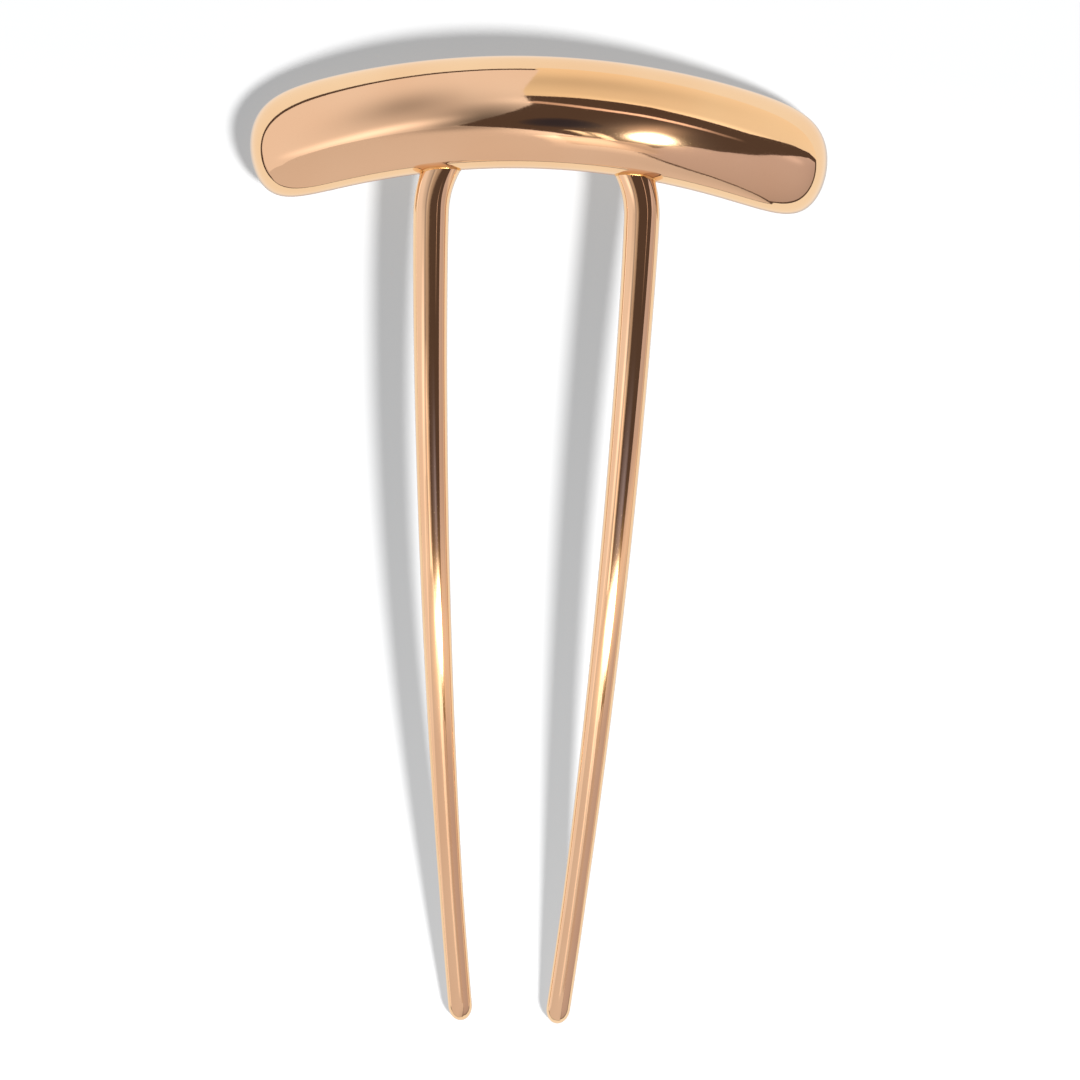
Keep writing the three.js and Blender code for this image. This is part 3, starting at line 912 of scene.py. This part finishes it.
def clear_film(name):
    """A film that lets through the share of light that its own colour attribute says."""
    material, tree = new_material(name)
    passed = add_node(tree, "ShaderNodeAttribute", {}, attribute_name="light")
    clear = add_node(tree, "ShaderNodeBsdfTransparent", {"Color": passed.outputs["Color"]})
    add_node(tree, "ShaderNodeOutputMaterial", {"Surface": clear.outputs["BSDF"]})
    return material


def add_sheet(name, points, light, material, receivers=()):
    """A sheet of the tent through a grid of points, seen only in the metal, with its light at each point.

    Where receivers are given, only those pieces mirror it.
    """
    name = f"tent_{name}"
    mesh = new_mesh(name, points)
    attribute = mesh.attributes.new("light", "FLOAT_COLOR", "POINT")
    alpha = np.ones((*points.shape[:2], 1))
    attribute.data.foreach_set("color", np.concatenate([light, alpha], axis=-1).astype(np.float32).ravel())
    mesh.materials.append(material)
    sheet = add_object(name, mesh)
    sheet.visible_camera = False
    sheet.visible_diffuse = False
    sheet.visible_shadow = False
    if receivers:
        group = bpy.data.collections.new(f"mirrors_{name}")
        for piece in receivers:
            group.objects.link(bpy.data.objects[piece])
        sheet.light_linking.receiver_collection = group


def tent_wall(wall, distance, turn, material):
    """A wall of the tent: straight lines across the sky from its inner edge down to its outer edge.

    Its light is the blend of its corner levels times that of its tints. Each patch changes it by a share that
    falls off from the patch's middle as e to minus the squared distance, measured in its half axes.
    """
    edge = np.array(wall["edge"], float)
    share = np.linspace(0, 1, WALL_GRID[0])[:, None]
    down = np.linspace(0, 1, WALL_GRID[1])[None, :]
    knots = np.linspace(0, 1, len(edge))
    inner_right, inner_up, compass, lean = (np.interp(share, knots, column) for column in edge.T)
    right = between(inner_right, lean * np.cos(np.radians(compass)), down)
    up = between(inner_up, lean * np.sin(np.radians(compass)), down)
    inner_start, inner_end, outer_start, outer_end = wall["levels"]
    level = between(between(inner_start, inner_end, share), between(outer_start, outer_end, share), down)
    for middle_right, middle_up, long_axis, short_axis, tilt, change in wall["patches"]:
        cosine, sine = math.cos(math.radians(tilt)), math.sin(math.radians(tilt))
        along = ((right - middle_right) * cosine + (up - middle_up) * sine) / long_axis
        across = ((up - middle_up) * cosine - (right - middle_right) * sine) / short_axis
        level = level * (1 + change * np.exp(-(along**2) - across**2))
    first, last = (np.array(to_linear(tint)) for tint in wall["tints"])
    light = level[..., None] * between(first, last, share[..., None])
    add_sheet(wall["name"], sky_points(right, up, distance, turn), light, material)


def mirrored_table(stage, material):
    """The table as the metal mirrors it, from its edge to straight below, where the fork's shadow dims it.

    From SHADOW_START on, the shadow grows as 3 times the square of the way down less twice its cube.
    """
    compass = np.linspace(0, 360, FLOOR_GRID[0])[:, None]
    edge = np.interp(compass, *np.array(MIRRORED_TABLE_EDGE, float).T)
    lean = edge + (STRAIGHT_DOWN - edge) * np.linspace(0, 1, FLOOR_GRID[1])[None, :]
    right, up = lean * np.cos(np.radians(compass)), lean * np.sin(np.radians(compass))
    points = sky_points(right, up, WALL_DISTANCE + len(TENT_WALLS) * TENT_STEP, stage.turn)
    under = np.clip((lean - SHADOW_START) / (STRAIGHT_DOWN - SHADOW_START), 0, 1)
    level = stage.table_mirrored * (1 - (1 - stage.table_under) * under * under * (3 - 2 * under))
    add_sheet("floor", points, level[..., None] * np.ones(3), material)


def oval(middle, first_axis, second_axis, reach):
    """Rings of an oval of sky, out to reach times its half axes: each place's share of them, right and up.

    A place is the middle plus its share of the first axis times a cosine and the second axis times a sine.
    """
    share = np.linspace(0, reach, OVAL_GRID[0])[:, None]
    around = np.linspace(0, math.tau, OVAL_GRID[1])[None, :]
    right = middle[0] + share * (first_axis[0] * np.cos(around) + second_axis[0] * np.sin(around))
    up = middle[1] + share * (first_axis[1] * np.cos(around) + second_axis[1] * np.sin(around))
    return share + 0 * around, right, up


def smoked_film(stage, material):
    """A soft-edged oval of smoked film that darkens the room in the head, made good for the prongs.

    What it holds back falls off as 1 minus a high power of the share of its half axes.
    """
    share, right, up = oval(*SMOKED_FILM, 1.0)
    passed = 1 - (1 - share[..., None] ** EDGE_POWER) * (1 - np.array(stage.film))
    lost = (1 - passed) * np.array(stage.room)
    add_sheet("film", sky_points(right, up, FILM_DISTANCE, stage.turn), passed, clear_film("smoked_film"))
    points = sky_points(right, up, FILM_DISTANCE - TENT_STEP, stage.turn)
    add_sheet("film_lift", points, lost, material, PRONG_PIECES)


def glow(name, middle, first_axis, second_axis, lamp_share, halo, tint, receivers, stage, material):
    """A lamp's glow: an oval of sky given by its middle and two half axes.

    Its white core falls off from the middle as e to minus CORE_FALLOFF times the squared share of the half
    axes. A faint tinted halo falls off as e to minus that square and ends at HALO_REACH.
    """
    share, right, up = oval(middle, first_axis, second_axis, HALO_REACH)
    white = lamp_share * stage.lamp * np.exp(-CORE_FALLOFF * share**2)
    faint = halo * np.exp(-(share**2)) * (1 - (share / HALO_REACH) ** 2)
    light = white[..., None] + faint[..., None] * np.array(to_linear(tint))
    add_sheet(name, sky_points(right, up, GLOW_DISTANCE, stage.turn), light, material, receivers)


def gap(name, half_width, tint, path, levels, receivers, stage, material):
    """A thin bright gap between two walls: a band of sky along a path, brightest along its middle.

    Across the band its light is 1 minus a high power of the distance from the middle.
    """
    places = np.array(path, float)
    share = np.linspace(0, 1, GAP_GRID[0])
    knots = np.linspace(0, 1, len(places))
    middle = np.stack([np.interp(share, knots, places[:, axis]) for axis in (0, 1)], axis=-1)
    heading = np.gradient(middle, axis=0)
    heading /= np.linalg.norm(heading, axis=1, keepdims=True)
    across = np.linspace(-1, 1, GAP_GRID[1])[None, :]
    right = middle[:, :1] - heading[:, 1:] * half_width * across
    up = middle[:, 1:] + heading[:, :1] * half_width * across
    level = np.interp(share, np.linspace(0, 1, len(levels)), levels)[:, None] * (1 - across**EDGE_POWER)
    light = level[..., None] * np.array(to_linear(tint))
    add_sheet(name, sky_points(right, up, GAP_DISTANCE, stage.turn), light, material, receivers)


class HAIRFORK_OT_front_shell(bpy.types.Operator):
    """Adds the domed front half of the head, notched where the prongs leave it"""

    bl_idname = "hair_fork.front_shell"
    bl_label = "Front Shell"

    def execute(self, context):
        head, rod, filler, finish, bend = fork_settings(context)
        notches = rod_mesh(head, rod, bend, filler.clearance, NOTCH_GRID)
        mesh = carve(shell_mesh(head, bend, head.dome_height, 1), notches, "DIFFERENCE")
        add_piece("head_front", mesh, polished_gold(finish), "polished_gold_plate", "front_shell")
        return {"FINISHED"}


class HAIRFORK_OT_back_shell(bpy.types.Operator):
    """Adds the shallow back half of the head, with its blank land, vent holes and notches"""

    bl_idname = "hair_fork.back_shell"
    bl_label = "Back Shell"

    def execute(self, context):
        head, rod, filler, finish, bend = fork_settings(context)
        mesh = carve(shell_mesh(head, bend, head.back_depth, -1), land_tool(head, rod, bend), "UNION")
        for side in (-1, 1):
            mesh = carve(mesh, vent_tool(head, bend, side), "DIFFERENCE")
        mesh = carve(mesh, rod_mesh(head, rod, bend, filler.clearance, NOTCH_GRID), "DIFFERENCE")
        add_piece("head_back", mesh, polished_gold(finish), "polished_gold_plate", "back_shell")
        return {"FINISHED"}


class HAIRFORK_OT_fork(bpy.types.Operator):
    """Adds the U-bent rod with its two tapered prongs"""

    bl_idname = "hair_fork.fork"
    bl_label = "Fork"

    def execute(self, context):
        head, rod, _, finish, bend = fork_settings(context)
        mesh = rod_mesh(head, rod, bend, 0.0, FORK_GRID)
        add_piece("fork_rod", mesh, polished_gold(finish), "polished_gold_plate", "fork")
        return {"FINISHED"}


class HAIRFORK_OT_rim_solder(bpy.types.Operator):
    """Adds the two runs of solder in the seam between the shells, which end in the prongs"""

    bl_idname = "hair_fork.rim_solder"
    bl_label = "Rim Solder"

    def execute(self, context):
        head, rod, filler, finish, bend = fork_settings(context)
        prong = exit_length(head, rod, bend, np.zeros(1), np.zeros(1))
        x = rod_surface(head, rod, bend, prong, np.array([math.pi / 2]))[0, 0]
        place = head.arc_radius * math.asin(x / head.arc_radius) / head.half_length
        step = 1 - math.sqrt(1 - place)  # closer_to_ends turns it into place
        material = plated_braze(finish)
        for name, start, end in (("long", 1 + step, 5 - step), ("short", 1 - step, 1 + step)):
            mesh = rim_mesh(head, bend, filler, start, end)
            add_piece(f"rim_bead_{name}", mesh, material, "plated_filler", f"rim_solder_{name}")
        return {"FINISHED"}


class HAIRFORK_OT_root_braze(bpy.types.Operator):
    """Adds the menisci of braze where the prongs leave the head"""

    bl_idname = "hair_fork.root_braze"
    bl_label = "Root Braze"

    def execute(self, context):
        head, rod, filler, finish, bend = fork_settings(context)
        material = plated_braze(finish)
        for name, side in (("left", -1), ("right", 1)):
            mesh = braze_mesh(head, rod, bend, filler, side)
            add_piece(f"root_meniscus_{name}", mesh, material, "plated_filler", f"root_braze_{name}")
        return {"FINISHED"}


class HAIRFORK_OT_bow_tacks(bpy.types.Operator):
    """Gives the two solder tacks inside the head, which stay as packed, their raw finish"""

    bl_idname = "hair_fork.bow_tacks"
    bl_label = "Bow Tacks"

    def execute(self, context):
        material = raw_solder(context.scene.hair_fork.finish)
        for name in ("bow_tack_left", "bow_tack_right"):
            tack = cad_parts[name]
            tack.data.materials.clear()
            tack.data.materials.append(material)
        return {"FINISHED"}


class HAIRFORK_OT_stage(bpy.types.Operator):
    """Sets the white table, the light tent and the camera straight overhead"""

    bl_idname = "hair_fork.stage"
    bl_label = "Stage"

    def execute(self, context):
        stage = context.scene.hair_fork.stage
        self.add_table(stage)
        self.add_tent(stage)
        self.add_key(stage)
        self.add_room(context.scene, stage)
        self.add_camera(context.scene, stage)
        context.scene.view_settings.view_transform = "Standard"
        return {"FINISHED"}

    def add_table(self, stage):
        """White table that glows a little, which is painted light in its shadows, and a white surround that
        only the camera sees.
        """
        painted, tree = new_material("white_table")
        paint = add_node(tree, "ShaderNodeBsdfDiffuse", {"Color": (*stage.table, 1.0)})
        # Painted light: the glow lightens the table's shadows, more beside the tips than beside the head, and
        # its cool tint evens out the gold's warm bounce there.
        place = add_node(tree, "ShaderNodeTexCoord", {}).outputs["Object"]
        along = add_node(tree, "ShaderNodeSeparateXYZ", {"Vector": place}).outputs["Y"]
        inputs = {"Value": along, "From Min": CAD_LOW.y, "From Max": CAD_HIGH.y}
        inputs |= {"To Min": stage.table_glow_tips, "To Max": stage.table_glow}
        level = add_node(tree, "ShaderNodeMapRange", inputs).outputs["Result"]
        shine = add_node(tree, "ShaderNodeEmission", {"Color": (*stage.table_tint, 1.0), "Strength": level})
        both = add_node(tree, "ShaderNodeAddShader", {0: paint.outputs["BSDF"], 1: shine.outputs["Emission"]})
        add_node(tree, "ShaderNodeOutputMaterial", {"Surface": both.outputs["Shader"]})
        white, tree = new_material("white_surround")
        inputs = {"Color": (1.0, 1.0, 1.0, 1.0), "Strength": SURROUND_LIGHT}
        shine = add_node(tree, "ShaderNodeEmission", inputs)
        add_node(tree, "ShaderNodeOutputMaterial", {"Surface": shine.outputs["Emission"]})
        around = once_round(TABLE_GRID[1])[None, :]
        radius = np.concatenate([[0.0], np.geomspace(*TABLE_RADII, TABLE_GRID[0])])[:, None]
        lean = np.linspace(0, math.pi / 2, TABLE_GRID[0])[:, None]
        table = add_object("table", round_mesh("table", rings(radius, 0 * radius, around)))
        dome = TABLE_RADII[1] * rings(np.sin(lean), np.cos(lean), around)
        surround = add_object("surround", round_mesh("surround", dome))
        table.data.materials.append(painted)
        table.visible_glossy = False
        surround.data.materials.append(white)
        surround.visible_diffuse = False
        surround.visible_glossy = False
        surround.visible_shadow = False

    def add_tent(self, stage):
        """Walls of the tent, the table as the metal mirrors it, the film, the lamps and the bright gaps."""
        cloth = glowing("tent_wall", False)
        for order, wall in enumerate(TENT_WALLS):
            tent_wall(wall, WALL_DISTANCE + order * TENT_STEP, stage.turn, cloth)
        mirrored_table(stage, cloth)
        light = glowing("tent_light", True)
        smoked_film(stage, light)
        for add, sheets in ((glow, TENT_GLOWS), (gap, TENT_GAPS)):
            for receivers, rows in sheets.items():
                for row in rows:
                    add(*row, receivers, stage, light)

    def add_key(self, stage):
        """The light that casts the shadow. The metal doesn't mirror it."""
        sun = bpy.data.lights.new("key", "SUN")
        sun.energy = stage.key
        sun.angle = stage.key_softness
        key = add_object("key", sun)
        towards = Matrix.Rotation(stage.turn, 3, "Z") @ Vector((stage.key_right, -stage.key_down, 1.0))
        key.rotation_euler = towards.to_track_quat("Z", "Y").to_euler()
        key.visible_glossy = False

    def add_room(self, scene, stage):
        """The dark room round the tent."""
        scene.world = bpy.data.worlds.new("room")
        scene.world.use_nodes = True
        background = scene.world.node_tree.nodes["Background"]
        background.inputs["Color"].default_value = (*stage.room, 1.0)
        background.inputs["Strength"].default_value = 1.0

    def add_camera(self, scene, stage):
        """The camera overhead, turned as the fork lies turned in the picture."""
        lens = bpy.data.cameras.new("camera")
        lens.lens = lens.sensor_width * stage.distance / stage.picture
        lens.clip_start, lens.clip_end = CLIP_DISTANCES
        camera = add_object("camera", lens)
        camera.location = (stage.middle_right, stage.middle_up, stage.seam_level + stage.distance)
        camera.rotation_euler = (0.0, 0.0, stage.turn)
        scene.camera = camera


OPERATORS = (
    HAIRFORK_OT_front_shell,
    HAIRFORK_OT_back_shell,
    HAIRFORK_OT_fork,
    HAIRFORK_OT_rim_solder,
    HAIRFORK_OT_root_braze,
    HAIRFORK_OT_bow_tacks,
    HAIRFORK_OT_stage,
)


class HAIRFORK_PT_sidebar(bpy.types.Panel):
    """Lists the pieces of the fork, its stage and their settings"""

    bl_idname = "HAIRFORK_PT_sidebar"
    bl_label = "Hair Fork"
    bl_space_type = "VIEW_3D"
    bl_region_type = "UI"
    bl_category = "Hair Fork"

    def draw(self, context):
        column = self.layout.column(align=True)
        for operator in OPERATORS:
            column.operator(operator.bl_idname)
        settings = context.scene.hair_fork
        for group in ("head", "rod", "filler", "finish", "stage"):
            box = self.layout.box()
            box.label(text=group.capitalize())
            values = getattr(settings, group)
            for name in values.__annotations__:
                box.prop(values, name)


CLASSES = (
    HairForkHead,
    HairForkRod,
    HairForkFiller,
    HairForkFinish,
    HairForkStage,
    HairForkSettings,
    *OPERATORS,
    HAIRFORK_PT_sidebar,
)


def register():
    """Registers the classes and adds the settings to the scene."""
    for each in CLASSES:
        bpy.utils.register_class(each)
    bpy.types.Scene.hair_fork = PointerProperty(type=HairForkSettings)


def unregister():
    """Takes the settings and the classes away again."""
    del bpy.types.Scene.hair_fork
    for each in reversed(CLASSES):
        bpy.utils.unregister_class(each)


def main():
    """Builds every piece and the stage."""
    register()
    bpy.ops.hair_fork.front_shell()
    bpy.ops.hair_fork.back_shell()
    bpy.ops.hair_fork.fork()
    bpy.ops.hair_fork.rim_solder()
    bpy.ops.hair_fork.root_braze()
    bpy.ops.hair_fork.bow_tacks()
    bpy.ops.hair_fork.stage()


if __name__ == "__main__":
    main()
